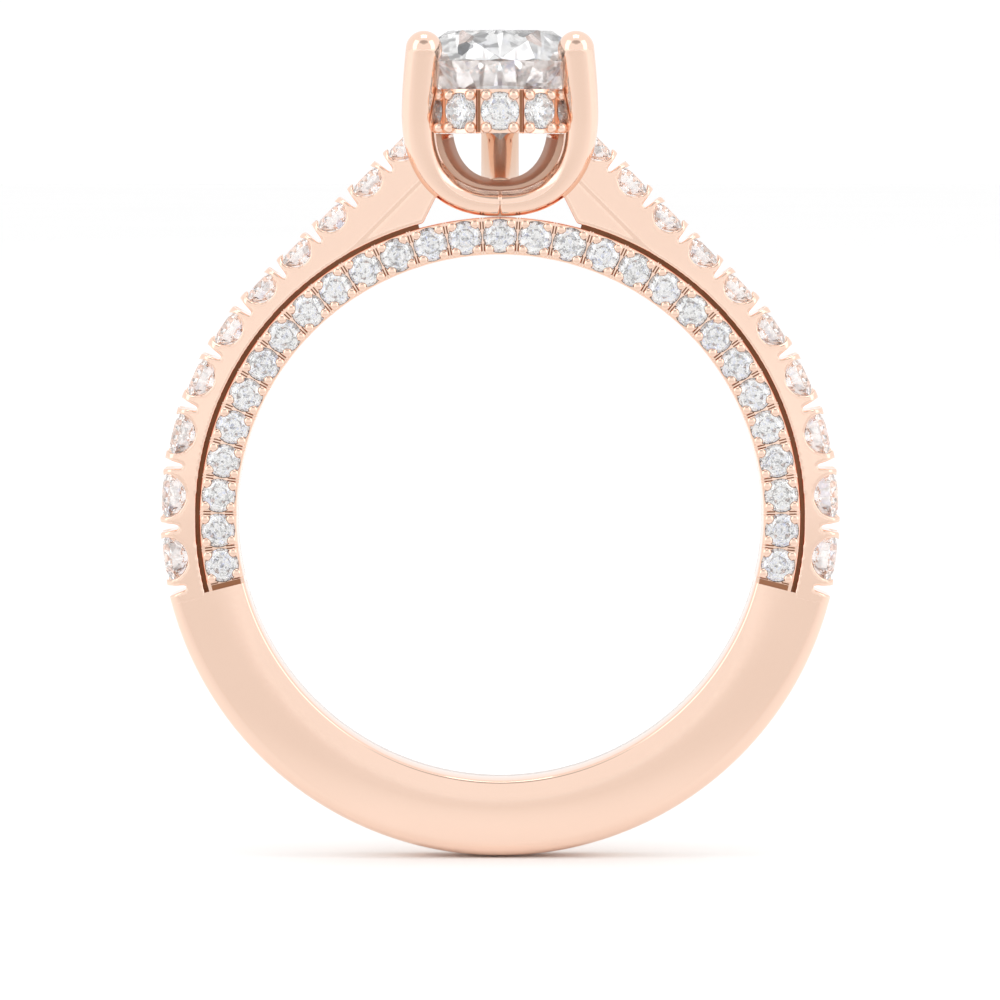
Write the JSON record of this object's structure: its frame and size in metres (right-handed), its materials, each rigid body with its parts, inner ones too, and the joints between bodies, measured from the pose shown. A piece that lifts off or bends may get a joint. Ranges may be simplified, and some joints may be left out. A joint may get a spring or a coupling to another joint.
{
  "type": "engagement ring",
  "caption": "Finger ring with a pear-shaped centre stone in claws over a hidden halo, stone-set shoulders, a side-set gallery arch and a plain lower shank.",
  "frame": {"origin": "centre of the finger hole, on the middle plane of the band", "axes": "+Z from the finger hole to the centre stone, Y along the finger with the round end of the pear towards -Y, +X to the wearer's side"},
  "size_m": [0.0214, 0.008, 0.0259],
  "materials": {
    "rose_gold": "high polish pale rose gold",
    "diamond": "clear, brilliant cut and polished"
  },
  "bodies": {
    "root": {"band_stone_left_01": "diamond", "band_stone_left_02": "diamond", "band_stone_left_03": "diamond", "band_stone_left_04": "diamond", "band_stone_left_05": "diamond", "band_stone_left_06": "diamond", "band_stone_left_07": "diamond", "band_stone_left_08": "diamond", "band_stone_left_09": "diamond", "band_stone_left_10": "diamond", "band_stone_right_01": "diamond", "band_stone_right_02": "diamond", "band_stone_right_03": "diamond", "band_stone_right_04": "diamond", "band_stone_right_05": "diamond", "band_stone_right_06": "diamond", "band_stone_right_07": "diamond", "band_stone_right_08": "diamond", "band_stone_right_09": "diamond", "band_stone_right_10": "diamond", "centre_stone": "diamond", "front_prong_left": "rose_gold", "front_prong_right": "rose_gold", "gallery_arch": "rose_gold", "gallery_stones_back": "diamond", "gallery_stones_front": "diamond", "halo_rail": "rose_gold", "halo_stone_01": "diamond", "halo_stone_02": "diamond", "halo_stone_03": "diamond", "halo_stone_04": "diamond", "halo_stone_05": "diamond", "halo_stone_06": "diamond", "halo_stone_07": "diamond", "halo_stone_08": "diamond", "halo_stone_09": "diamond", "halo_stone_10": "diamond", "halo_stone_11": "diamond", "halo_stone_12": "diamond", "halo_stone_13": "diamond", "head_cradle": "rose_gold", "point_prong": "rose_gold", "shank": "rose_gold"}
  },
  "joints": []
}
